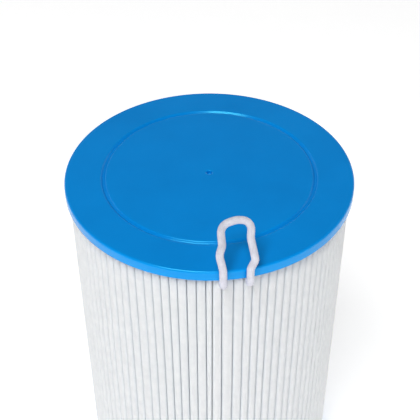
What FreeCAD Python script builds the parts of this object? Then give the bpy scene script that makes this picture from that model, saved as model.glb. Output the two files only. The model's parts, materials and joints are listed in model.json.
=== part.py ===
import FreeCAD, Part
import math
import os

# A pleated spa filter cartridge: two cast end caps, a pleated polyester sheet with its side
# seam, a two-section moulded lattice core, and a cord loop for lifting the cartridge out.
# Lengths are in millimetres. +Z is up, and the origin is the centre of the bottom face, where
# the open hole slips over the spa's standpipe.

# Overall sizes
overall_length = 317.5         # bottom face to closed top face, without the loop
cap_diameter = 216.0

# Cast end caps
cap_height = 8.1               # side rim, face to open edge
cap_face_edge_radius = 1.6     # rounding where the face meets the rim
cap_open_edge_radius = 0.5     # rounding at the edge that the pleats come out of
standpipe_hole_diameter = 76.2
groove_inset = 28.8            # rim to the middle of the ring groove in the top face
groove_width = 3.4
groove_depth = 1.5
dimple_diameter = 7.0          # centre mark left by the mould's pin
dimple_depth = 1.6

# Pleated sheet
pleat_count = 103
pleat_overhang = 2.8           # how far the cap stands out past the pleat tips
sheet_thickness = 0.6
sheet_embed = 4.0              # how deep the pleats' ends are cast into each cap
tip_width_share = 0.34         # half width of a tip, as a share of its pitch
tip_flat_share = 0.50          # flat part of a tip, as a share of its width
tip_drop = 1.5                 # shoulder of a tip, inside its crown
root_width_share = 0.27        # half width of a root fold, as a share of its pitch
seam_azimuth = 1.2             # degrees from the front, towards +X
seam_bond_thickness = 0.6      # cured adhesive between the sheet's first and last flanks
seam_bond_inset = 5.0          # bond's outer edge, inside the pleat tips
seam_bond_width = 25.0

# Lattice core
core_outer_diameter = 96.0
core_wall = 3.4
core_embed = 4.0               # how deep each end is cast into its cap
core_to_sheet_gap = 0.8
cast_in_gap = 0.05             # radial, between the core's rings and the caps
core_window_columns = 16       # an even number, because each cut opens two opposite windows
core_window_height = 14.0
core_ring_height = 5.0         # plain ring between two rows of windows
core_end_band = 9.0            # plain ring at each end of a section
core_rib_width = 5.2
spigot_length = 6.0            # upper section's spigot, inside the lower section
spigot_wall = 1.6
spigot_gap = 0.06              # radial running clearance of the spigot in its socket

# Pull loop
loop_azimuth = 9.6             # degrees from the front, towards +X
loop_stock_diameter = 5.4
loop_to_rim_gap = 0.4
loop_foot_half_spacing = 9.0
loop_bends = [                 # the cord's set bends above the rim, from the left foot to the right
    # to the side, in from the legs, above the top face, bend radius
    (-9.6, 0.0, 5.0, 14.0),
    (-12.3, 0.0, 18.9, 3.6),   # left kink
    (-9.3, 5.6, 21.2, 5.0),
    (-8.5, 18.2, 28.1, 7.5),   # left end of the arch
    (2.5, 19.6, 30.3, 12.0),
    (12.9, 18.6, 29.0, 5.8),   # right end of the arch
    (10.4, 10.2, 21.9, 9.0),
    (12.0, 0.0, 10.9, 3.3),    # right kink
    (9.0, 0.0, 3.6, 6.0),
]
foot_bend_radius = 3.4         # turn under the rim
foot_embed = 5.0               # how deep a foot is cast into the cap
foot_end_gap = 0.7             # flexing gap between a foot and the loop's ball end
foot_to_sheet_gap = 0.3

# Derived places
cap_radius = cap_diameter / 2
top_z = overall_length
top_open_z = top_z - cap_height
bottom_open_z = cap_height
core_outer_radius = core_outer_diameter / 2
core_inner_radius = core_outer_radius - core_wall
standpipe_hole_radius = standpipe_hole_diameter / 2
tip_radius = cap_radius - pleat_overhang
root_radius = core_outer_radius + core_to_sheet_gap
stock_radius = loop_stock_diameter / 2
loop_leg_radius = cap_radius + loop_to_rim_gap + stock_radius
pleat_pitch = 2 * math.pi / pleat_count


def vec(x, y, z):
    return FreeCAD.Vector(x, y, z)


def ring(outer_radius, inner_radius, low_z, high_z):
    """Plain tube about Z."""
    outer = Part.makeCylinder(outer_radius, high_z - low_z, vec(0, 0, low_z))
    return outer.cut(Part.makeCylinder(inner_radius, high_z - low_z, vec(0, 0, low_z)))


def line(a, b):
    return Part.LineSegment(a, b).toShape()


def arc(a, middle, b):
    return Part.Arc(a, middle, b).toShape()


def corner_arc(centre_r, centre_z, radius, start_deg, end_deg):
    """Arc in the XZ half plane, counted from +X towards +Z."""

    def at(degrees):
        angle = math.radians(degrees)
        return vec(centre_r + radius * math.cos(angle), 0, centre_z + radius * math.sin(angle))

    return arc(at(start_deg), at((start_deg + end_deg) / 2), at(end_deg))


def lathe(edges):
    """Closed half section, turned once about Z."""
    face = Part.Face(Part.Wire(edges))
    return face.revolve(vec(0, 0, 0), vec(0, 0, 1), 360)


def top_cap_blank():
    """Closed disc with a ring groove and a centre dimple in its face."""
    face_r = cap_face_edge_radius
    open_r = cap_open_edge_radius
    groove_radius = cap_radius - groove_inset
    groove_out = groove_radius + groove_width / 2
    groove_in = groove_radius - groove_width / 2
    groove_floor = vec(groove_radius, 0, top_z - groove_depth)
    dimple_r = dimple_diameter / 2
    dimple_sphere = (dimple_r ** 2 + dimple_depth ** 2) / (2 * dimple_depth)
    dimple_centre_z = top_z - dimple_depth + dimple_sphere
    dimple_half_angle = math.asin(dimple_r / dimple_sphere)
    edges = [
        line(vec(0, 0, top_open_z), vec(cap_radius - open_r, 0, top_open_z)),
        corner_arc(cap_radius - open_r, top_open_z + open_r, open_r, -90, 0),
        line(vec(cap_radius, 0, top_open_z + open_r), vec(cap_radius, 0, top_z - face_r)),
        corner_arc(cap_radius - face_r, top_z - face_r, face_r, 0, 90),
        line(vec(cap_radius - face_r, 0, top_z), vec(groove_out, 0, top_z)),
        arc(vec(groove_out, 0, top_z), groove_floor, vec(groove_in, 0, top_z)),
        line(vec(groove_in, 0, top_z), vec(dimple_r, 0, top_z)),
        corner_arc(0, dimple_centre_z, dimple_sphere, math.degrees(dimple_half_angle) - 90, -90),
        line(vec(0, 0, top_z - dimple_depth), vec(0, 0, top_open_z)),
    ]
    return lathe(edges)


def bottom_cap_blank():
    """Open disc with the straight-walled hole that slips over the standpipe."""
    face_r = cap_face_edge_radius
    open_r = cap_open_edge_radius
    hole = standpipe_hole_radius
    edges = [
        line(vec(hole, 0, 0), vec(cap_radius - face_r, 0, 0)),
        corner_arc(cap_radius - face_r, face_r, face_r, -90, 0),
        line(vec(cap_radius, 0, face_r), vec(cap_radius, 0, bottom_open_z - open_r)),
        corner_arc(cap_radius - open_r, bottom_open_z - open_r, open_r, 0, 90),
        line(vec(cap_radius - open_r, 0, bottom_open_z), vec(hole, 0, bottom_open_z)),
        line(vec(hole, 0, bottom_open_z), vec(hole, 0, 0)),
    ]
    return lathe(edges)


def polar(radius, angle):
    """Point in plan, with the angle counted from the front towards +X."""
    return (radius * math.sin(angle), -radius * math.cos(angle))


def sheet_centreline():
    """Zigzag line through the middle of the sheet, from one end at the seam round to the other."""
    half = sheet_thickness / 2
    crown_r = tip_radius - half
    shoulder_r = crown_r - tip_drop
    root_r = root_radius + half
    seam_angle = math.radians(seam_azimuth)
    tip_half = tip_width_share * pleat_pitch
    root_half = root_width_share * pleat_pitch
    seam_offset = (seam_bond_thickness + sheet_thickness) / 2
    points = [polar(root_r, seam_angle + seam_offset / root_r)]
    for pleat in range(pleat_count):
        root_angle = seam_angle + pleat * pleat_pitch
        tip_angle = root_angle + pleat_pitch / 2
        left_shoulder = tip_angle - tip_half
        right_shoulder = tip_angle + tip_half
        if pleat == 0:
            left_shoulder = root_angle + seam_offset / shoulder_r
        else:
            points.append(polar(root_r, root_angle - root_half))
            points.append(polar(root_r, root_angle + root_half))
        if pleat == pleat_count - 1:
            right_shoulder = root_angle + pleat_pitch - seam_offset / shoulder_r
        points.append(polar(shoulder_r, left_shoulder))
        points.append(polar(crown_r, tip_angle - tip_half * tip_flat_share))
        points.append(polar(crown_r, tip_angle + tip_half * tip_flat_share))
        points.append(polar(shoulder_r, right_shoulder))
    points.append(polar(root_r, seam_angle - seam_offset / root_r))
    return points


def offset_line(points, distance):
    """The same line moved sideways, with mitred corners."""
    moved = []
    for index, point in enumerate(points):
        before = points[max(index - 1, 0)]
        after = points[min(index + 1, len(points) - 1)]
        normals = []
        for a, b in ((before, point), (point, after)):
            length = math.hypot(b[0] - a[0], b[1] - a[1])
            if length > 0:
                normals.append(((b[1] - a[1]) / length, (a[0] - b[0]) / length))
        nx = sum(n[0] for n in normals) / len(normals)
        ny = sum(n[1] for n in normals) / len(normals)
        scale = distance / (nx * nx + ny * ny)
        moved.append((point[0] + nx * scale, point[1] + ny * scale))
    return moved


def prism(outline, low_z, high_z):
    corners = [vec(x, y, low_z) for x, y in outline]
    wire = Part.makePolygon(corners + [corners[0]])
    return Part.Face(wire).extrude(vec(0, 0, high_z - low_z))


def make_sheet():
    """One pleated sheet, as long as the gap between the caps and its two cast-in ends."""
    middle = sheet_centreline()
    one_side = offset_line(middle, sheet_thickness / 2)
    other_side = offset_line(middle, -sheet_thickness / 2)
    outline = one_side + other_side[::-1]
    return prism(outline, bottom_open_z - sheet_embed, top_open_z + sheet_embed)


def make_seam_bond():
    """Cured adhesive strip between the sheet's first and last flanks."""
    seam_angle = math.radians(seam_azimuth)
    half = seam_bond_thickness / 2
    outer_r = tip_radius - seam_bond_inset
    inner_r = outer_r - seam_bond_width
    outline = []
    for radius, side in ((outer_r, half), (inner_r, half), (inner_r, -half), (outer_r, -half)):
        x, y = polar(radius, seam_angle)
        outline.append((x + side * math.cos(seam_angle), y + side * math.sin(seam_angle)))
    return prism(outline, bottom_open_z, top_open_z)


def core_windows(low_z, high_z):
    """Rows of cutters between a section's two end bands. Each cutter opens two opposite windows."""
    span = high_z - low_z - 2 * core_end_band
    pitch = core_window_height + core_ring_height
    rows = int((span + core_ring_height) / pitch)
    first_z = (low_z + high_z) / 2 - (rows * pitch - core_ring_height) / 2
    column_pitch = 2 * math.pi * core_outer_radius / core_window_columns
    width = column_pitch - core_rib_width
    cutters = []
    for row in range(rows):
        for column in range(core_window_columns // 2):
            corner = vec(-cap_radius, -width / 2, first_z + row * pitch)
            cutter = Part.makeBox(2 * cap_radius, width, core_window_height, corner)
            cutter.rotate(vec(0, 0, 0), vec(0, 0, 1), (column + 0.5) * 360 / core_window_columns)
            cutters.append(cutter)
    return cutters


def core_section(low_z, high_z):
    return ring(core_outer_radius, core_inner_radius, low_z, high_z).cut(core_windows(low_z, high_z))


core_low_z = bottom_open_z - core_embed
core_high_z = top_open_z + core_embed
core_joint_z = (core_low_z + core_high_z) / 2


def make_core_lower():
    """Lower section, with a socket at its upper end."""
    section = core_section(core_low_z, core_joint_z)
    socket_radius = core_inner_radius + spigot_wall
    socket = Part.makeCylinder(socket_radius, spigot_length, vec(0, 0, core_joint_z - spigot_length))
    return section.cut(socket)


def make_core_upper():
    """Upper section, with the spigot that fills the lower section's socket."""
    section = core_section(core_joint_z, core_high_z)
    spigot_radius = core_inner_radius + spigot_wall - spigot_gap
    spigot_low_z = core_joint_z - spigot_length + spigot_gap
    spigot = ring(spigot_radius, core_inner_radius, spigot_low_z, core_joint_z)
    return section.fuse(spigot).removeSplitter()


def core_seat(low_z, high_z):
    """Ring-shaped space that a cap leaves for the core's end."""
    return ring(core_outer_radius + cast_in_gap, core_inner_radius - cast_in_gap, low_z, high_z)


def loop_point(tangent, radius, z):
    """Point given by its distance to the side of the loop's middle plane, its radius and its height."""
    angle = math.radians(loop_azimuth)
    outward = vec(math.sin(angle), -math.cos(angle), 0)
    sideways = vec(math.cos(angle), math.sin(angle), 0)
    return sideways * tangent + outward * radius + vec(0, 0, z)


def loop_corners():
    """The loop's corners from its left pivot, up, over and down to its right pivot."""
    corners = [loop_point(-loop_foot_half_spacing, loop_leg_radius, top_open_z)]
    for tangent, inset, height, _ in loop_bends:
        corners.append(loop_point(tangent, loop_leg_radius - inset, top_z + height))
    corners.append(loop_point(loop_foot_half_spacing, loop_leg_radius, top_open_z))
    return corners


def rounded_path(corners, radii):
    """Straight runs joined by tangent arcs, one radius for each inner corner."""
    edges = []
    start = corners[0]
    for before, corner, after, radius in zip(corners, corners[1:], corners[2:], radii):
        back = (before - corner).normalize()
        ahead = (after - corner).normalize()
        half_angle = back.getAngle(ahead) / 2
        trim = radius / math.tan(half_angle)
        centre = corner + (back + ahead).normalize() * (radius / math.sin(half_angle))
        arc_start = corner + back * trim
        arc_end = corner + ahead * trim
        arc_middle = centre + (corner - centre).normalize() * radius
        edges.append(line(start, arc_start))
        edges.append(arc(arc_start, arc_middle, arc_end))
        start = arc_end
    edges.append(line(start, corners[-1]))
    return Part.Wire(edges)


def round_bar(path, radius):
    """Solid round bar along a path that starts with a straight run or an arc."""
    first = path.Edges[0]
    start = first.valueAt(first.FirstParameter)
    direction = first.tangentAt(first.FirstParameter)
    section = Part.Wire(Part.Circle(start, direction, radius).toShape())
    return path.makePipeShell([section], True, False)


def make_pull_loop():
    """Both legs and the arch, in one piece with a ball at each pivot."""
    corners = loop_corners()
    radii = [bend[3] for bend in loop_bends]
    bar = round_bar(rounded_path(corners, radii), stock_radius)
    for end in (corners[0], corners[-1]):
        bar = bar.fuse(Part.makeSphere(stock_radius, end))
    return bar.removeSplitter()


def foot_bar(side, radius):
    """One foot's bar: down from the pivot, round under the rim and up into the cap."""
    tangent = side * loop_foot_half_spacing
    inner_radius = loop_leg_radius - 2 * foot_bend_radius
    start = loop_point(tangent, loop_leg_radius, top_open_z)
    turn = loop_point(tangent, loop_leg_radius - foot_bend_radius, top_open_z - foot_bend_radius)
    rise = loop_point(tangent, inner_radius, top_open_z)
    end = loop_point(tangent, inner_radius, top_open_z + foot_embed)
    return round_bar(Part.Wire([arc(start, turn, rise), line(rise, end)]), radius)


def make_loop_feet():
    """Both cast-in ends, cut back round the loop's balls so that the loop can flex."""
    feet = []
    for side in (-1, 1):
        pivot = loop_point(side * loop_foot_half_spacing, loop_leg_radius, top_open_z)
        ball_space = Part.makeSphere(stock_radius + foot_end_gap, pivot)
        feet.append(foot_bar(side, stock_radius).cut(ball_space))
    return feet


def foot_clearance():
    """Room that the pleats leave round each foot."""
    room = []
    for side in (-1, 1):
        room.append(foot_bar(side, stock_radius + foot_to_sheet_gap))
        end_z = top_open_z + foot_embed
        inner_radius = loop_leg_radius - 2 * foot_bend_radius
        end = loop_point(side * loop_foot_half_spacing, inner_radius, end_z)
        room.append(Part.makeCylinder(stock_radius + foot_to_sheet_gap, foot_to_sheet_gap, end))
    return room


def make_top_cap(sheet, feet):
    cap = top_cap_blank()
    cap = cap.cut(core_seat(top_open_z, top_open_z + core_embed))
    return cap.cut([sheet] + feet)


def make_bottom_cap(sheet):
    cap = bottom_cap_blank()
    cap = cap.cut(core_seat(bottom_open_z - core_embed, bottom_open_z))
    return cap.cut(sheet)


def save(name, solids):
    shape = solids[0] if len(solids) == 1 else Part.makeCompound(solids)
    for solid in shape.Solids:
        if not solid.isValid() or not solid.isClosed():
            raise ValueError(name + " isn't a closed solid")
    shape.exportStep("parts/" + name + ".step")
    box = shape.BoundBox
    print(name, len(shape.Solids), "solids", round(shape.Volume / 1000, 2), "cm3",
          "z", round(box.ZMin, 2), round(box.ZMax, 2))


def main():
    os.makedirs("parts", exist_ok=True)
    feet = make_loop_feet()
    sheet = make_sheet().cut(foot_clearance())
    save("top_cap", make_top_cap(sheet, feet).Solids)
    save("bottom_cap", make_bottom_cap(sheet).Solids)
    save("pleated_media", sheet.Solids)
    save("media_seam_bond", [make_seam_bond()])
    save("core_upper_section", make_core_upper().Solids)
    save("core_lower_section", make_core_lower().Solids)
    save("loop_feet", feet)
    save("pull_loop", make_pull_loop().Solids)
    print("OK")


main()
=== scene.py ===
import bpy
import json
import math
import numpy as np
import random
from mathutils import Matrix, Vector


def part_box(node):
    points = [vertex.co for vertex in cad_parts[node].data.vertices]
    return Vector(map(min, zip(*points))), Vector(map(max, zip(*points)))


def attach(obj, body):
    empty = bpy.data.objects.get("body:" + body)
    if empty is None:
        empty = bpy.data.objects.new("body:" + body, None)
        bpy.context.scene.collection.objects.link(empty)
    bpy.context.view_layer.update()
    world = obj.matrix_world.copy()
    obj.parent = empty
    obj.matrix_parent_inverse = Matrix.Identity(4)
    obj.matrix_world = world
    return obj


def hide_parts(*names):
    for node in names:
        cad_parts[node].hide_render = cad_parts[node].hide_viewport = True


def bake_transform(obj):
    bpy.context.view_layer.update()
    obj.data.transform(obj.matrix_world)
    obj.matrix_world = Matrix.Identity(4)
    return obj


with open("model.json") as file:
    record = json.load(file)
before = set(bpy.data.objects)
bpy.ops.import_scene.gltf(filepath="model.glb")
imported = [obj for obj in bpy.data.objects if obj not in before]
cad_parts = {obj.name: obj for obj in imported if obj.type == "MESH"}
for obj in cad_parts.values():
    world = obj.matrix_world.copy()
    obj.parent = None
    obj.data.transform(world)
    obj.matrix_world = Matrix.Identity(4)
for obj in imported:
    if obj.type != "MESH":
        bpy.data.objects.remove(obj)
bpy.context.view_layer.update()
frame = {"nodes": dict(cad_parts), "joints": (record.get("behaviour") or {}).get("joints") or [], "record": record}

# Lengths are in metres, in the CAD frame: +Z up, the pull loop on the -Y side.
MM = 0.001

# Places read from the frame
TOP_LOW, TOP_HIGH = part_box("top_cap")
BASE_LOW, BASE_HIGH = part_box("bottom_cap")
MEDIA_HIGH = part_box("pleated_media")[1]
CORE_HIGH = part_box("core_lower_section")[1]
JOINT = frame["joints"][0]
BORE = next(m for m in frame["record"]["mounts"] if m["name"] == "standpipe_bore")
TOP_Z = TOP_HIGH.z
RIM_Z = TOP_LOW.z
BASE_Z = BASE_LOW.z
LEDGE_Z = BASE_HIGH.z
CAP_R = TOP_HIGH.x
BORE_R = BORE["dims"]["r_mm"] * MM
TIP_R = MEDIA_HIGH.x
CORE_TO_SHEET_GAP = 0.8 * MM
ROOT_R = CORE_HIGH.x + CORE_TO_SHEET_GAP

# Studio: lights are placed from the middle of the top face
STUDIO_R = 4.0
STUDIO_RISE = 3.5
STUDIO_STEPS = 96
STUDIO_CURVE_STEPS = 10
STUDIO_CURVE_END = -15  # in degrees; -90 is flat and 0 is upright
FLOOR_GLOW = 0.54
SKY_STRENGTH = 0.14
LIGHTS = [  # name, place, width, height, watts
    ("key_softbox", (-0.35, -0.85, 1.7), 0.9, 0.8, 26),
    ("front_softbox", (0.3, -1.65, 0.1), 1.2, 0.9, 4.5),
]
CAMERA_DEPRESSION = math.radians(40.18)
CAMERA_DISTANCE = 0.7106
CAMERA_ASIDE = 0.0005
CAMERA_RAISE = -0.0284
CAMERA_LENS = 81.43  # in mm, on a 36 mm sensor
CAMERA_SENSOR = 36.0

# Cast caps
LATHE_STEPS = 288
ON_AXIS = 1e-7  # a point nearer to the axis than this is on it
FACE_EDGE = 1.6 * MM
OPEN_EDGE = 0.5 * MM
BORE_EDGE = 0.5 * MM
FACE_EDGE_STEPS = 8
SMALL_EDGE_STEPS = 4
RIM_STEPS = 5
INNER_FACE_STEPS = 12
OUTER_FACE_STEPS = 8
BASE_FACE_STEPS = 12
UNDER_STEPS = 6
GROOVE_INSET = 28.8 * MM
GROOVE_R = CAP_R - GROOVE_INSET
GROOVE_HALF = 2.15 * MM
GROOVE_DEPTH = 1.5 * MM
GROOVE_STEPS = 10  # on each side of its middle
GROOVE_SWELL = 1.15  # above 1 makes its floor broader
DIMPLE_R = 3.5 * MM
DIMPLE_DEPTH = 2.9 * MM
DIMPLE_SHAPE = [  # shares of its radius and depth
    (0, 1),
    (0.35, 0.99),
    (0.48, 0.95),
    (0.55, 0.85),
    (0.58, 0.60),
    (0.60, 0.30),
    (0.63, 0.14),
    (0.70, 0.06),
    (0.84, 0.02),
    (1, 0),
]
CAST_SAG = 0.10 * MM
SAG_CALM_R = 6 * DIMPLE_R  # the sinks fade out inside this radius
CAST_OUT_OF_ROUND = 0.12 * MM
OUT_OF_ROUND_POWER = 4  # keeps it to the rim
RIM_WAVES = [  # strength, waves round the rim, phase
    (1.0, 2, 0.7),
    (0.6, 5, 2.1),
    (0.4, 9, 0.0),
]
MENISCUS = 0.7 * MM
MENISCUS_SHAPE = [  # mm outside the pleat tips, share of its height
    (0.9, 0),
    (0.3, 0.2),
    (-0.1, 0.6),
    (-0.5, 1),
    (-2.5, 0.6),
]

# Pleated sheet
PLEATS = 103
PITCH = 2 * math.pi / PLEATS
SHEET_T = 0.6 * MM
SHEET_IN_CAP = 2.0 * MM
SEAM_ANGLE = math.radians(1.2)
SEAM_HALF = 0.62 * MM
SHEET_LEVELS = 18
TIP_CROWN = 2.3 * MM
ROOT_BEND = 0.6 * MM
PINCH_DEPTH = 4.2 * MM
MOUTH_HALF = 1.25 * MM
VALLEY_DEPTHS = [0, 4.0 * MM, 25.0 * MM, TIP_R - ROOT_R]
VALLEY_HALVES = [0.36 * MM, 0.36 * MM, 0.70 * MM, 0.75 * MM]
FLANK_STATIONS = [0, 0.33, 0.66, 0.86, 0.945, 0.975, 1]
TIP_STEPS = 10
TIP_SET_DOWN = 0.05 * MM
TIP_SAG = 0.6 * MM
TIP_LIFT_POWER = 0.78  # under 1 makes the tips fuller than a half ellipse
TIP_SPREAD_POWER = 0.9
MOUTH_POWER = 1.5
ROOT_STEPS = 4
SEAM_NEIGHBOURS = 20  # valleys on each side that the seam has pushed aside
SEAM_PUSH_AFTER = 0.38  # in pitches
SEAM_PUSH_BEFORE = 0.28
FIRST_VALLEYS = {1: 0.03, 2: 0.25, 3: 0.38, 4: 0.38}
VALLEY_SEED = 23
SHIFT_SPREAD = 0.045  # in pitches, like the lean and the bow
LEAN_WAVES = [(0.05, 3, 0.6), (0.05, 8, 0.0)]  # strength, waves round the sheet, phase
LEAN_SPREAD = 0.02
BOW_WAVES = [(0.10, 2, 2.0), (0.07, 11, 0.0)]
BOW_SPREAD = 0.03
PHASE_SPREAD = 0.4
WIDE_RANGE = (0.5, 1.3)  # shares of MOUTH_HALF
ROUND_RANGE = (0.85, 1.2)  # shares of TIP_LIFT_POWER

# Pull loop
CORD_R = 2.7 * MM
LOOP_AZIMUTH = math.atan2(JOINT["axis"][1], JOINT["axis"][0])
LEG_R = math.hypot(JOINT["pos_m"][0], JOINT["pos_m"][1])
LOOP_BENDS = [  # in mm: to the side, in from the legs, above the top face, bend radius
    (-9.6, 0.0, 5.0, 14.0),
    (-12.3, 0.0, 18.9, 3.6),
    (-9.3, 5.6, 21.2, 5.0),
    (-8.5, 18.2, 28.1, 7.5),
    (2.5, 19.6, 30.3, 12.0),
    (12.9, 18.6, 29.0, 5.8),
    (10.4, 10.2, 21.9, 9.0),
    (12.0, 0.0, 10.9, 3.3),
    (9.0, 0.0, 3.6, 6.0),
]
FOOT_HALF_SPACING = 9.0  # in mm
FOOT_BEND = 3.35  # in mm
FOOT_CORNERS = [  # side, in from the legs, above the rim's lower edge, in mm
    (-1, 6.8, 1.4),
    (-1, 6.8, -3.4),
    (-1, 0.0, -3.4),
    (1, 0.0, -3.4),
    (1, 6.8, -3.4),
    (1, 6.8, 1.4),
]
BEND_STEPS = 8
SMOOTHING_PASSES = 6
CORD_CORE_R = CORD_R - 0.75 * MM
CORD_CORE_CORNERS = 16
CARRIERS = 8
BRAID_PITCH = 17.0 * MM
STRAND_WIDE = 0.92 * MM
STRAND_HIGH = 0.42 * MM
STRAND_LIFT = 0.22 * MM
STRAND_STEP = 0.42 * MM
STRAND_CORNERS = 8

# Finishes: each pair is what a surface's colour or roughness varies between
RAMP_ENDS = (0.3, 0.7)  # shares of the noise where a colour ramp starts and ends
RESIN_COLOURS = (0.0, 0.252, 0.735), (0.0, 0.276, 0.79)
RESIN_ROUGHNESS = (0.17, 0.27)
RESIN_SPECULAR_TINT = (0.15, 1.0, 1.0, 1)
POLYESTER_COLOURS = (0.785, 0.83, 0.885), (0.845, 0.885, 0.935)
PLASTIC_COLOURS = (0.70, 0.71, 0.70), (0.78, 0.79, 0.78)
PLASTIC_ROUGHNESS = (0.38, 0.5)
ADHESIVE_COLOURS = (0.60, 0.60, 0.58), (0.72, 0.72, 0.69)
YARN_COLOURS = (0.56, 0.56, 0.64), (0.68, 0.68, 0.75)
FLOOR_COLOURS = (0.90, 0.90, 0.90), (0.92, 0.92, 0.92)


def arc_points(centre_r, centre_z, radius, start, end, steps):
    """Points of an arc in the half section, angles in degrees from +R towards +Z."""
    points = []
    for step in range(steps + 1):
        angle = math.radians(start + (end - start) * step / steps)
        points.append((centre_r + radius * math.cos(angle), centre_z + radius * math.sin(angle)))
    return points


def waves(table, angle):
    """Sum of sine waves round the axis, each given as strength, count and phase."""
    return sum(strength * math.sin(count * angle + phase) for strength, count, phase in table)


def mesh_piece(name, vertices, faces, material):
    """A smooth-shaded mesh object made from plain lists or arrays."""
    mesh = bpy.data.meshes.new(name)
    mesh.from_pydata([tuple(v) for v in vertices], [], [tuple(f) for f in faces])
    mesh.validate()
    mesh.polygons.foreach_set("use_smooth", [True] * len(mesh.polygons))
    mesh.materials.append(material)
    mesh.update()
    piece = bpy.data.objects.new(name, mesh)
    bpy.context.scene.collection.objects.link(piece)
    return piece


def lathe(name, profile, material, closed):
    """Turns a half section about Z. An open profile starts and ends on the axis; a closed one is a ring."""
    vertices = []
    faces = []
    rings = []
    for r, z in profile:
        if r < ON_AXIS:
            rings.append([len(vertices)])
            vertices.append((0, 0, z))
            continue
        rings.append(list(range(len(vertices), len(vertices) + LATHE_STEPS)))
        for step in range(LATHE_STEPS):
            angle = 2 * math.pi * step / LATHE_STEPS
            out = r - cast_shrink(angle) * (r / CAP_R) ** OUT_OF_ROUND_POWER
            vertices.append((out * math.sin(angle), -out * math.cos(angle), z - cast_dip(r, angle, z)))
    pairs = list(zip(rings, rings[1:]))
    if closed:
        pairs.append((rings[-1], rings[0]))
    for a, b in pairs:
        for step in range(LATHE_STEPS):
            after = (step + 1) % LATHE_STEPS
            if len(a) == 1:
                faces.append((a[0], b[step], b[after]))
            elif len(b) == 1:
                faces.append((a[step], b[0], a[after]))
            else:
                faces.append((a[step], b[step], b[after], a[after]))
    return mesh_piece(name, vertices, faces, material)


def cast_shrink(angle):
    """How far the hand-poured rim falls short of a true circle."""
    return CAST_OUT_OF_ROUND * (0.5 + 0.25 * waves(RIM_WAVES, angle))


def cast_dip(r, angle, z):
    """Depth of the slight sinks in the closed face; there are none elsewhere."""
    if z < TOP_Z - 2 * GROOVE_DEPTH:
        return 0.0
    swell = math.sin(2 * angle + 3 * math.pi * r / CAP_R) * math.sin(4 * math.pi * r / CAP_R + 0.4)
    return CAST_SAG * (0.5 + 0.5 * swell) * min(1.0, r / SAG_CALM_R)


def flat_run(start, end, steps):
    """Points from start to end, closer together near both ends so that the edges stay crisp."""
    points = []
    for step in range(1, steps):
        share = 0.5 - 0.5 * math.cos(math.pi * step / steps)
        points.append((start[0] + (end[0] - start[0]) * share, start[1] + (end[1] - start[1]) * share))
    return points


def groove_points():
    """The ring groove's half section: sloping walls between soft lips and a rounded floor."""
    points = []
    for step in range(-GROOVE_STEPS, GROOVE_STEPS + 1):
        across = step / GROOVE_STEPS
        dip = 0.5 + 0.5 * math.cos(math.pi * abs(across) ** GROOVE_SWELL)
        points.append((GROOVE_R + across * GROOVE_HALF, TOP_Z - GROOVE_DEPTH * dip))
    return points


def dimple_points():
    """The centre mark's half section: a small pit with steep walls inside a shallow dish."""
    points = []
    for r, depth in DIMPLE_SHAPE:
        points.append((DIMPLE_R * r, TOP_Z - DIMPLE_DEPTH * depth))
    return points


def meniscus_points(face_z, side):
    """Resin drawn a little way along the pleats: side is -1 under the top cap and 1 over the bottom one."""
    return [(TIP_R + out * MM, face_z + side * share * MENISCUS) for out, share in MENISCUS_SHAPE]


def make_top_cap(material):
    face = dimple_points()
    face += flat_run(face[-1], (GROOVE_R - GROOVE_HALF, TOP_Z), INNER_FACE_STEPS) + groove_points()
    face += flat_run(face[-1], (CAP_R - FACE_EDGE, TOP_Z), OUTER_FACE_STEPS)
    rim = arc_points(CAP_R - FACE_EDGE, TOP_Z - FACE_EDGE, FACE_EDGE, 90, 0, FACE_EDGE_STEPS)
    rim += flat_run(rim[-1], (CAP_R, RIM_Z + OPEN_EDGE), RIM_STEPS)
    rim += arc_points(CAP_R - OPEN_EDGE, RIM_Z + OPEN_EDGE, OPEN_EDGE, 0, -90, SMALL_EDGE_STEPS)
    under = meniscus_points(RIM_Z, -1)
    under += flat_run(under[-1], (0, RIM_Z), UNDER_STEPS) + [(0, RIM_Z)]
    piece = lathe("top_cap_casting", face + rim + under, material, closed=False)
    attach(piece, "root")
    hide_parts("top_cap")


def make_bottom_cap(material):
    ledge = [(BORE_R + BORE_EDGE, LEDGE_Z)]
    meniscus = meniscus_points(LEDGE_Z, 1)[::-1]
    ledge += flat_run(ledge[0], meniscus[0], UNDER_STEPS) + meniscus
    rim = arc_points(CAP_R - OPEN_EDGE, LEDGE_Z - OPEN_EDGE, OPEN_EDGE, 90, 0, SMALL_EDGE_STEPS)
    rim += flat_run(rim[-1], (CAP_R, BASE_Z + FACE_EDGE), RIM_STEPS)
    rim += arc_points(CAP_R - FACE_EDGE, BASE_Z + FACE_EDGE, FACE_EDGE, 0, -90, FACE_EDGE_STEPS)
    bore = arc_points(BORE_R + BORE_EDGE, BASE_Z + BORE_EDGE, BORE_EDGE, -90, -180, SMALL_EDGE_STEPS)
    face = flat_run(rim[-1], bore[0], BASE_FACE_STEPS)
    wall = arc_points(BORE_R + BORE_EDGE, LEDGE_Z - BORE_EDGE, BORE_EDGE, 180, 90, SMALL_EDGE_STEPS)[:-1]
    piece = lathe("bottom_cap_casting", ledge + rim + face + bore + wall, material, closed=True)
    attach(piece, "root")
    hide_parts("bottom_cap")


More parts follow.
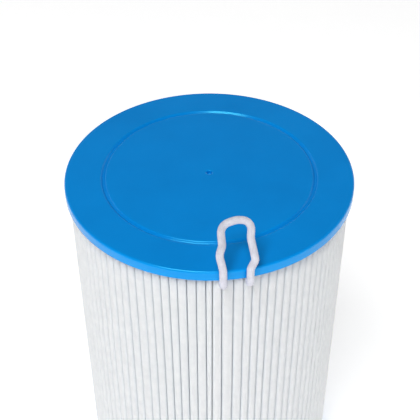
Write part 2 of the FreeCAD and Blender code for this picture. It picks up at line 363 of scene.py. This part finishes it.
def valley_habits():
    """How each valley between two pleats departs from an even one, counted from the seam."""
    dice = random.Random(VALLEY_SEED)
    habits = []
    for valley in range(PLEATS + 1):
        turn = 2 * math.pi * valley / PLEATS
        habits.append({
            "shift": dice.uniform(-SHIFT_SPREAD, SHIFT_SPREAD) + seam_stretch(valley),
            "lean": waves(LEAN_WAVES, turn) + dice.uniform(-LEAN_SPREAD, LEAN_SPREAD),
            "bow": waves(BOW_WAVES, turn) + dice.uniform(-BOW_SPREAD, BOW_SPREAD),
            "phase": 3 * turn + dice.uniform(-PHASE_SPREAD, PHASE_SPREAD),
            "wide": dice.uniform(*WIDE_RANGE),
            "deep": dice.uniform(0.0, 1.0),
            "round": dice.uniform(*ROUND_RANGE),
        })
    for end in (0, PLEATS):
        habits[end].update(shift=0.0, lean=0.0, bow=0.0, wide=0.0)
    return habits


def seam_stretch(valley):
    """Sideways set of the valleys near the seam, in pitches: it narrows one pleat and widens others."""
    before = PLEATS - valley
    if valley in FIRST_VALLEYS:
        return FIRST_VALLEYS[valley]
    if valley < SEAM_NEIGHBOURS:
        return SEAM_PUSH_AFTER * (SEAM_NEIGHBOURS - valley) / (SEAM_NEIGHBOURS - len(FIRST_VALLEYS))
    if 0 < before < SEAM_NEIGHBOURS:
        return SEAM_PUSH_BEFORE * (SEAM_NEIGHBOURS - before) / (SEAM_NEIGHBOURS - 1)
    return 0.0


def valley_place(habit, share, out):
    """Sideways place of a valley in pitches, at a share of the height and a share of the way out."""
    wave = 0.02 * math.sin(5 * share + habit["phase"])
    sway = habit["lean"] * (share - 0.5) + habit["bow"] * math.sin(math.pi * share) + wave
    return habit["shift"] * (0.3 + 0.7 * out) + sway * out * (habit["wide"] > 0)


def flank_angle(valley, habit, side, radius, share):
    """Angle of the sheet's middle line on one side of a valley: side is 1 after it and -1 before it."""
    out = (radius - ROOT_R) / (TIP_R - ROOT_R)
    angle = SEAM_ANGLE + (valley + valley_place(habit, share, out)) * PITCH
    if habit["wide"] == 0:
        half = SEAM_HALF
    else:
        half = float(np.interp(TIP_R - radius, VALLEY_DEPTHS, VALLEY_HALVES))
        mouth = max(0.0, 1 - (TIP_R - radius) / PINCH_DEPTH)
        half += MOUTH_HALF * habit["wide"] * mouth ** MOUTH_POWER
    return angle + side * half / radius


def level_line(share, habits):
    """Middle line of the sheet at one height, as plan points, from one end at the seam to the other."""
    points = []
    bend_r = ROOT_R + SHEET_T / 2 + ROOT_BEND
    for pleat in range(PLEATS):
        left, right = habits[pleat], habits[pleat + 1]
        sag = right["deep"] * (0.6 + 0.4 * math.sin(3 * share + left["phase"]))
        shoulder_r = TIP_R - SHEET_T / 2 - TIP_SET_DOWN - TIP_CROWN - TIP_SAG * sag
        stations = [bend_r + (shoulder_r - bend_r) * step for step in FLANK_STATIONS]
        for radius in stations:
            points.append((radius, flank_angle(pleat, left, 1, radius, share)))
        start, end = points[-1][1], flank_angle(pleat + 1, right, -1, shoulder_r, share)
        middle, reach = (start + end) / 2, (end - start) / 2
        for step in range(1, TIP_STEPS):
            turn = math.pi * step / TIP_STEPS
            lift = math.sin(turn) ** (TIP_LIFT_POWER * right["round"])
            aside = math.copysign(abs(math.cos(turn)) ** TIP_SPREAD_POWER, math.cos(turn))
            points.append((shoulder_r + TIP_CROWN * lift, middle - reach * aside))
        for radius in reversed(stations):
            points.append((radius, flank_angle(pleat + 1, right, -1, radius, share)))
        if pleat < PLEATS - 1:
            start, end = points[-1][1], flank_angle(pleat + 1, right, 1, bend_r, share)
            middle, reach = (start + end) / 2, (end - start) / 2
            for step in range(1, ROOT_STEPS):
                turn = math.pi * step / ROOT_STEPS
                points.append((bend_r - ROOT_BEND * math.sin(turn), middle - reach * math.cos(turn)))
    radii, angles = np.array(points).T
    return np.stack([radii * np.sin(angles), -radii * np.cos(angles)], axis=1)


def both_sides(line):
    """The line moved half the sheet's thickness to either side."""
    along = np.zeros_like(line)
    along[1:-1] = line[2:] - line[:-2]
    along[0], along[-1] = line[1] - line[0], line[-1] - line[-2]
    along /= np.linalg.norm(along, axis=1)[:, None]
    normal = np.stack([along[:, 1], -along[:, 0]], axis=1) * SHEET_T / 2
    return line + normal, line - normal


def make_media(material):
    """One pleated sheet with real thickness, its ends sunk in both caps."""
    habits = valley_habits()
    low, high = LEDGE_Z - SHEET_IN_CAP, RIM_Z + SHEET_IN_CAP
    vertices = []
    count = 0
    for level in range(SHEET_LEVELS):
        share = level / (SHEET_LEVELS - 1)
        outer, inner = both_sides(level_line(share, habits))
        ring = np.concatenate([outer, inner[::-1]])
        count = len(ring)
        z = low + (high - low) * share
        vertices.append(np.column_stack([ring, np.full(count, z)]))
    vertices = np.concatenate(vertices)
    faces = []
    for level in range(SHEET_LEVELS - 1):
        base = level * count
        for i in range(count):
            j = (i + 1) % count
            faces.append((base + i, base + j, base + count + j, base + count + i))
    top = (SHEET_LEVELS - 1) * count
    for i in range(count // 2 - 1):
        j = count - 1 - i
        faces.append((i, j, j - 1, i + 1))
        faces.append((top + i, top + i + 1, top + j - 1, top + j))
    piece = mesh_piece("pleated_sheet", vertices, faces, material)
    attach(piece, "root")
    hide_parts("pleated_media")
    line = level_line(0.5, habits)


def loop_outward():
    """Level direction from the axis to the middle of the loop's legs."""
    return Vector((math.sin(LOOP_AZIMUTH), -math.cos(LOOP_AZIMUTH), 0))


def loop_point(aside, inset, height):
    """Point given in mm: sideways, in from the legs, and above the top face."""
    sideways = Vector((math.cos(LOOP_AZIMUTH), math.sin(LOOP_AZIMUTH), 0))
    level = sideways * aside * MM + loop_outward() * (LEG_R - inset * MM)
    return level + Vector((0, 0, TOP_Z + height * MM))


def loop_route():
    """The cord's middle line, from inside the rim, round under it, up, over and back down."""
    rim = (RIM_Z - TOP_Z) / MM
    feet = [(side * FOOT_HALF_SPACING, inset, rim + rise, FOOT_BEND) for side, inset, rise in FOOT_CORNERS]
    half_way = len(feet) // 2
    corners = feet[:half_way] + LOOP_BENDS + feet[half_way:]
    points = [loop_point(*corner[:3]) for corner in corners]
    line = [points[0]]
    for before, corner, after, (_, _, _, bend) in zip(points, points[1:], points[2:], corners[1:]):
        back = (before - corner).normalized()
        ahead = (after - corner).normalized()
        half = back.angle(ahead) / 2
        radius = bend * MM
        centre = corner + (back + ahead).normalized() * (radius / math.sin(half))
        start = (corner + back * (radius / math.tan(half)) - centre).normalized()
        end = (corner + ahead * (radius / math.tan(half)) - centre).normalized()
        for step in range(BEND_STEPS + 1):
            line.append(centre + start.slerp(end, step / BEND_STEPS) * radius)
    line.append(points[-1])
    return line


def evenly(line, step):
    """The line again with evenly spaced points, gently smoothed."""
    line = np.array([tuple(p) for p in line])
    lengths = np.concatenate([[0], np.cumsum(np.linalg.norm(np.diff(line, axis=0), axis=1))])
    count = int(lengths[-1] / step) + 1
    at = np.linspace(0, lengths[-1], count)
    even = np.stack([np.interp(at, lengths, line[:, k]) for k in range(3)], axis=1)
    for _ in range(SMOOTHING_PASSES):
        even[1:-1] = 0.25 * even[:-2] + 0.5 * even[1:-1] + 0.25 * even[2:]
    return even, at


def carried_frames(line):
    """A sideways and an upward direction at each point, carried along without twist."""
    ahead = np.gradient(line, axis=0)
    ahead /= np.linalg.norm(ahead, axis=1)[:, None]
    side = np.cross(ahead[0], (1.0, 0.3, 0.2))  # any direction off the line starts them
    sides = []
    for direction in ahead:
        side = side - direction * side.dot(direction)
        side /= np.linalg.norm(side)
        sides.append(side)
    sides = np.array(sides)
    return sides, np.cross(ahead, sides)


def tube(line, across, up, wide, high, corners):
    """Closed elliptical tube along a line: across and up are its section's unit directions."""
    turn = np.linspace(0, 2 * math.pi, corners, endpoint=False)
    rings = (
        line[:, None, :]
        + across[:, None, :] * (np.cos(turn) * wide)[None, :, None]
        + up[:, None, :] * (np.sin(turn) * high)[None, :, None]
    )
    faces = []
    for ring in range(len(line) - 1):
        a, b = ring * corners, (ring + 1) * corners
        for i in range(corners):
            j = (i + 1) % corners
            faces.append((a + i, a + j, b + j, b + i))
    last = (len(line) - 1) * corners
    faces.append(tuple(range(corners - 1, -1, -1)))
    faces.append(tuple(range(last, last + corners)))
    return rings.reshape(-1, 3), faces


def braid_strand(line, at, frames, carrier, hand):
    """One flattened yarn of the braid, passing over and under the yarns of the other hand."""
    side, up = frames
    angle = hand * 2 * math.pi * at / BRAID_PITCH + 2 * math.pi * carrier / CARRIERS
    crossing = hand * np.cos(2 * math.pi * CARRIERS * at / BRAID_PITCH)
    radius = CORD_R - STRAND_HIGH - STRAND_LIFT + STRAND_LIFT * crossing
    out = side * np.cos(angle)[:, None] + up * np.sin(angle)[:, None]
    middle = line + out * radius[:, None]
    along = np.gradient(middle, axis=0)
    along /= np.linalg.norm(along, axis=1)[:, None]
    across = np.cross(along, out)
    across /= np.linalg.norm(across, axis=1)[:, None]
    return tube(middle, across, np.cross(across, along), STRAND_WIDE, STRAND_HIGH, STRAND_CORNERS)


def make_pull_loop(material):
    """The braided cord in one piece, bending just above its cast-in ends."""
    line, at = evenly(loop_route(), STRAND_STEP)
    frames = carried_frames(line)
    vertices, faces = tube(line, *frames, CORD_CORE_R, CORD_CORE_R, CORD_CORE_CORNERS)
    blocks, total = [vertices], len(vertices)
    for hand in (-1, 1):
        for carrier in range(CARRIERS):
            points, sides = braid_strand(line, at, frames, carrier, hand)
            faces += [tuple(i + total for i in face) for face in sides]
            blocks.append(points)
            total += len(points)
    piece = mesh_piece("pull_loop_cord", np.concatenate(blocks), faces, material)
    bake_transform(piece)
    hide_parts("pull_loop", "loop_feet")


def new_material(name):
    material = bpy.data.materials.new(name)
    material.use_nodes = True
    nodes = material.node_tree.nodes
    nodes.clear()
    output = nodes.new("ShaderNodeOutputMaterial")
    shader = nodes.new("ShaderNodeBsdfPrincipled")
    material.node_tree.links.new(shader.outputs["BSDF"], output.inputs["Surface"])
    return material, shader


def add_node(material, kind, **inputs):
    """A node with its inputs set by name, spaces as underscores; a socket is linked, a value is set."""
    node = material.node_tree.nodes.new(kind)
    for key, value in inputs.items():
        socket = node.inputs[key.replace("_", " ")]
        if isinstance(value, bpy.types.NodeSocket):
            material.node_tree.links.new(value, socket)
        else:
            socket.default_value = value
    return node


def link(material, source, target):
    material.node_tree.links.new(source, target)


def stretched(material, scale):
    """Object coordinates scaled per axis."""
    place = add_node(material, "ShaderNodeTexCoord")
    mapping = add_node(material, "ShaderNodeMapping", Vector=place.outputs["Object"], Scale=scale)
    return mapping.outputs["Vector"]


def noise(material, scale, detail=3.0, rough=0.5, stretch=(1, 1, 1)):
    """Smooth random values, with scale given in waves per metre."""
    node = add_node(material, "ShaderNodeTexNoise", Scale=scale, Detail=detail, Roughness=rough)
    link(material, stretched(material, stretch), node.inputs["Vector"])
    return node.outputs["Fac"]


def colour_between(material, shader, share, first, second):
    """Base colour that goes from first to second as share rises."""
    ramp = add_node(material, "ShaderNodeValToRGB", Fac=share)
    for element, position, colour in zip(ramp.color_ramp.elements, RAMP_ENDS, (first, second)):
        element.position = position
        element.color = (*colour, 1)
    link(material, ramp.outputs["Color"], shader.inputs["Base Color"])


def roughness_between(material, shader, value, low, high):
    node = add_node(material, "ShaderNodeMapRange", Value=value, To_Min=low, To_Max=high)
    link(material, node.outputs["Result"], shader.inputs["Roughness"])


def bumps(material, shader, *layers):
    """Relief in layers, each a height, its depth and its strength, from the finest up."""
    under = None
    for height, depth, strength in layers:
        node = add_node(material, "ShaderNodeBump", Height=height, Distance=depth, Strength=strength)
        if under is not None:
            link(material, under, node.inputs["Normal"])
        under = node.outputs["Normal"]
    link(material, under, shader.inputs["Normal"])


def set_finish(shader, **values):
    """Values on the shader's own sockets, named with underscores for spaces."""
    for key, value in values.items():
        shader.inputs[key.replace("_", " ")].default_value = value


def cap_resin():
    """Blue cast polyurethane: soft gloss, faint flow clouds and a fine skin over a slight swell."""
    material, shader = new_material("cast_blue_resin")
    clouds = noise(material, 22, detail=4)
    skin = noise(material, 900, detail=2)
    swell = noise(material, 60, detail=2)
    colour_between(material, shader, clouds, *RESIN_COLOURS)
    roughness_between(material, shader, clouds, *RESIN_ROUGHNESS)
    bumps(material, shader, (skin, 0.02 * MM, 1.0), (swell, 0.25 * MM, 0.5))
    set_finish(shader, Specular_IOR_Level=0.65, Specular_Tint=RESIN_SPECULAR_TINT)
    return material


def polyester():
    """White spunbonded polyester: matt felted fibres with a faint pattern of bonded points."""
    material, shader = new_material("spunbond_polyester")
    fibres = noise(material, 900, detail=6, rough=0.7, stretch=(1, 1, 0.35))
    clouds = noise(material, 130, detail=3)
    points = add_node(material, "ShaderNodeTexVoronoi", Vector=stretched(material, (1, 1, 1)), Scale=900)
    colour_between(material, shader, clouds, *POLYESTER_COLOURS)
    bumps(material, shader, (fibres, 0.10 * MM, 0.8), (points.outputs["Distance"], 0.05 * MM, 0.5))
    set_finish(shader, Roughness=0.92, Specular_IOR_Level=0.2, Sheen_Weight=0.12, Sheen_Roughness=0.6)
    set_finish(shader, Subsurface_Weight=1.0, Subsurface_Radius=(1, 1, 1), Subsurface_Scale=2.6 * MM)
    return material


def moulded_plastic():
    """Off-white moulded polypropylene with a fine satin skin."""
    material, shader = new_material("moulded_core_plastic")
    clouds = noise(material, 40, detail=3)
    skin = noise(material, 1200, detail=2)
    colour_between(material, shader, clouds, *PLASTIC_COLOURS)
    roughness_between(material, shader, skin, *PLASTIC_ROUGHNESS)
    bumps(material, shader, (skin, 0.02 * MM, 1.0))
    return material


def cured_adhesive():
    """Dull cream adhesive with small lumps."""
    material, shader = new_material("cured_adhesive")
    lumps = noise(material, 500, detail=4)
    colour_between(material, shader, lumps, *ADHESIVE_COLOURS)
    bumps(material, shader, (lumps, 0.2 * MM, 1.0))
    set_finish(shader, Roughness=0.7)
    return material


def braided_cord():
    """White polyester yarn: fine filaments and a soft sheen."""
    material, shader = new_material("white_braided_cord")
    filaments = noise(material, 2600, detail=4, rough=0.6)
    clouds = noise(material, 220, detail=2)
    colour_between(material, shader, clouds, *YARN_COLOURS)
    bumps(material, shader, (filaments, 0.06 * MM, 0.7))
    set_finish(shader, Roughness=0.75, Sheen_Weight=0.2, Sheen_Roughness=0.5)
    return material


def studio_white():
    """Pale paper that glows a little, as if lit from behind."""
    material, shader = new_material("studio_floor")
    grain = noise(material, 3, detail=2)
    colour_between(material, shader, grain, *FLOOR_COLOURS)
    set_finish(shader, Roughness=0.9, Specular_IOR_Level=0.0)
    set_finish(shader, Emission_Color=(1, 1, 1, 1), Emission_Strength=FLOOR_GLOW)
    return material


def paint_cad_nodes():
    """Gives the carried-over CAD nodes their materials."""
    plastic = moulded_plastic()
    wanted = {
        "core_upper_section": plastic,
        "core_lower_section": plastic,
        "media_seam_bond": cured_adhesive(),
    }
    for name, material in wanted.items():
        node = frame["nodes"][name]
        node.data.materials.clear()
        node.data.materials.append(material)


def make_floor():
    """A flat floor whose far edge curves up all round, so that no horizon shows."""
    centre = (STUDIO_R, BASE_Z + STUDIO_RISE)
    profile = [(0, BASE_Z)] + arc_points(*centre, STUDIO_RISE, -90, STUDIO_CURVE_END, STUDIO_CURVE_STEPS)
    vertices = [(0, 0, BASE_Z)]
    faces = []
    for ring, (r, z) in enumerate(profile[1:]):
        for step in range(STUDIO_STEPS):
            angle = 2 * math.pi * step / STUDIO_STEPS
            here = 1 + ring * STUDIO_STEPS + step
            after = 1 + ring * STUDIO_STEPS + (step + 1) % STUDIO_STEPS
            vertices.append((r * math.cos(angle), r * math.sin(angle), z))
            if ring == 0:
                faces.append((0, here, after))
            else:
                faces.append((here - STUDIO_STEPS, here, after, after - STUDIO_STEPS))
    mesh_piece("studio_floor", vertices, faces, studio_white())


def area_light(name, offset, width, height, power):
    """A softbox that faces the middle of the top face from an offset, unseen by the camera."""
    data = bpy.data.lights.new(name, "AREA")
    data.shape = "RECTANGLE"
    data.size, data.size_y, data.energy = width, height, power
    lamp = bpy.data.objects.new(name, data)
    bpy.context.scene.collection.objects.link(lamp)
    lamp.location = Vector((0, 0, TOP_Z)) + Vector(offset)
    lamp.rotation_euler = (-Vector(offset)).to_track_quat("-Z", "Y").to_euler()
    lamp.visible_camera = False


def make_lights():
    for light in LIGHTS:
        area_light(*light)
    world = bpy.data.worlds.new("studio_world")
    world.use_nodes = True
    sky = world.node_tree.nodes["Background"]
    sky.inputs["Color"].default_value = (1.0, 1.0, 1.0, 1)
    sky.inputs["Strength"].default_value = SKY_STRENGTH
    bpy.context.scene.world = world
    bpy.context.scene.view_settings.view_transform = "Standard"


def make_camera():
    """Camera about 40 degrees above the cap, aimed a little below it."""
    back = Vector((0, -math.cos(CAMERA_DEPRESSION), math.sin(CAMERA_DEPRESSION)))
    upward = Vector((0, math.sin(CAMERA_DEPRESSION), math.cos(CAMERA_DEPRESSION)))
    data = bpy.data.cameras.new("studio_camera")
    data.sensor_width = CAMERA_SENSOR
    data.lens = CAMERA_LENS
    camera = bpy.data.objects.new("studio_camera", data)
    bpy.context.scene.collection.objects.link(camera)
    camera.location = Vector((CAMERA_ASIDE, 0, TOP_Z)) + back * CAMERA_DISTANCE + upward * CAMERA_RAISE
    camera.rotation_euler = (math.pi / 2 - CAMERA_DEPRESSION, 0, 0)
    bpy.context.scene.camera = camera


make_camera()
make_lights()
make_floor()
resin = cap_resin()
make_top_cap(resin)
make_bottom_cap(resin)
make_media(polyester())
make_pull_loop(braided_cord())
paint_cad_nodes()
